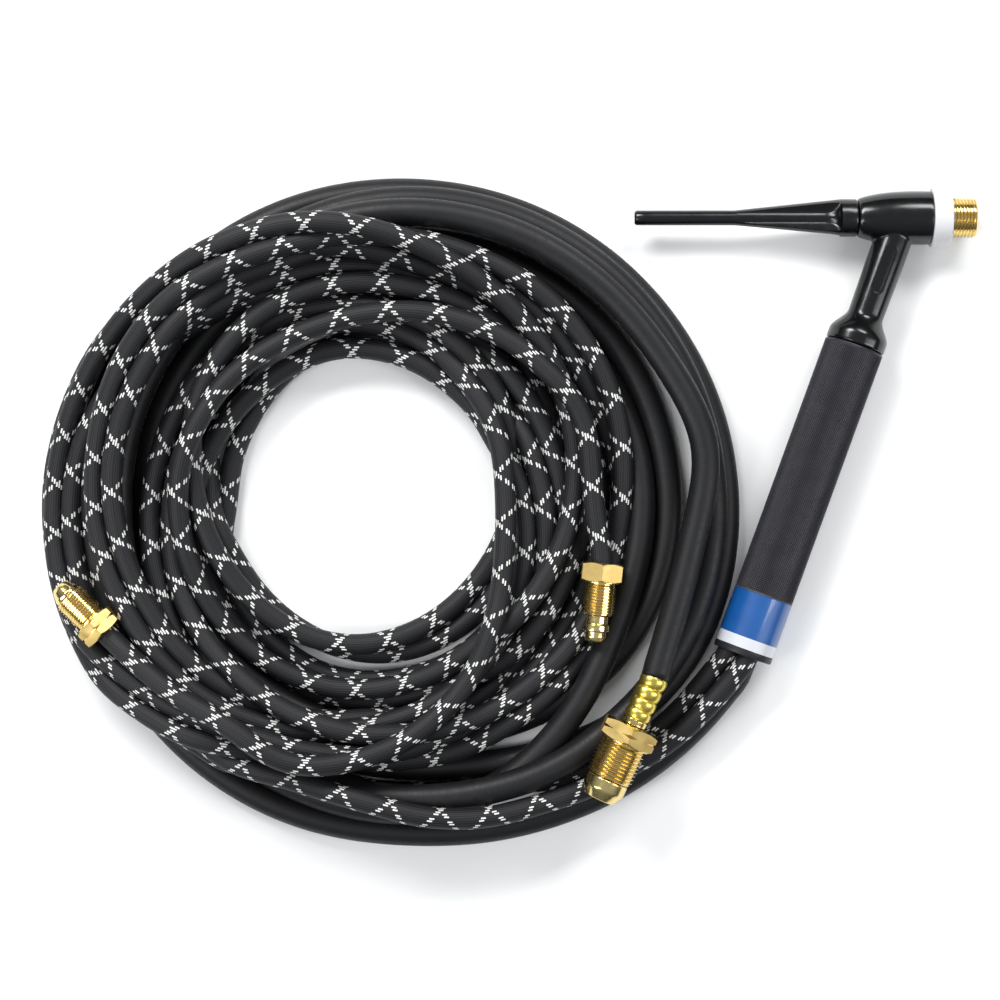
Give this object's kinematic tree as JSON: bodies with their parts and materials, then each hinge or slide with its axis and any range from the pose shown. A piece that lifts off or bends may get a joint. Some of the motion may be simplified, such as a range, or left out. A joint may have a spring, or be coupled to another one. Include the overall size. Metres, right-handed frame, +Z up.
{
  "type": "tig torch",
  "caption": "Water-cooled TIG welding torch with a long back cap, knurled handle and coiled power cable, gas hose and coolant hose with brass fittings.",
  "frame": {"origin": "on the head axis, at the back end of the exposed nozzle thread", "axes": "+X along the head axis towards the nozzle, +Z up from the surface that the torch and its leads lie on"},
  "size_m": [0.4373, 0.3148, 0.0514],
  "materials": {
    "brass_core": "turned",
    "head_moulding": "gloss",
    "ptfe": "satin",
    "cap_moulding": "gloss",
    "o_ring_rubber": "satin",
    "copper_tube": "drawn",
    "handle_knurl": "knurled",
    "label_film": "printed film",
    "braid_cover": "woven",
    "cable_rubber": "satin",
    "brass_fitting": "machined",
    "brass_ferrule": "crimped"
  },
  "bodies": {
    "torch": {"head_core": "brass_core", "head_shell": "head_moulding", "gas_tube": "copper_tube", "coolant_tube": "copper_tube", "power_tube": "copper_tube", "gas_coupler": "brass_core", "coolant_coupler": "brass_core", "power_coupler": "brass_core", "handle": "handle_knurl", "handle_label": "label_film", "gas_hose_lead": "braid_cover", "gas_hose_coil": "braid_cover", "gas_hose_tail": "braid_cover", "coolant_hose_lead": "braid_cover", "coolant_hose_coil": "braid_cover", "coolant_hose_tail": "braid_cover", "power_cable_lead": "cable_rubber", "power_cable_coil": "cable_rubber", "power_cable_tail": "cable_rubber", "gas_fitting_stem": "brass_fitting", "coolant_fitting_stem": "brass_fitting", "power_fitting_stem": "brass_fitting", "power_fitting_ferrule": "brass_ferrule"},
    "shield": {"heat_shield": "ptfe"},
    "cap_carrier": {"back_cap_o_ring": "o_ring_rubber"},
    "cap": {"back_cap": "cap_moulding"},
    "gas_nut": {"gas_fitting_nut": "brass_fitting"},
    "coolant_nut": {"coolant_fitting_nut": "brass_fitting"},
    "power_nut": {"power_fitting_nut": "brass_fitting"}
  },
  "joints": [
    {"name": "heat_shield_slide", "type": "slide", "parent": "torch", "child": "shield", "axis": [1, 0, 0], "range_m": [0, 0.025]},
    {"name": "back_cap_travel", "type": "slide", "parent": "torch", "child": "cap_carrier", "axis": [-1, 0, 0], "range_m": [0, 0.0115]},
    {"name": "back_cap_turn", "type": "hinge", "parent": "cap_carrier", "child": "cap", "pos_m": [-0.045, 0, 0], "axis": [-1, 0, 0], "range_deg": [0, 3240]},
    {"name": "gas_nut_swivel", "type": "hinge", "parent": "torch", "child": "gas_nut", "pos_m": [-0.1647, -0.1632, 0.0135], "axis": [-0.1045, -0.9945, 0], "continuous": true},
    {"name": "coolant_nut_swivel", "type": "hinge", "parent": "torch", "child": "coolant_nut", "pos_m": [-0.3967, -0.1962, 0.0175], "axis": [-0.7071, 0.7071, 0], "continuous": true},
    {"name": "power_nut_swivel", "type": "hinge", "parent": "torch", "child": "power_nut", "pos_m": [-0.1415, -0.2177, 0.0225], "axis": [-0.4226, -0.9063, 0], "continuous": true}
  ],
  "couplings": [
    {"joint": "back_cap_travel", "follows": "back_cap_turn", "m_per_rad": 0.00020213}
  ]
}
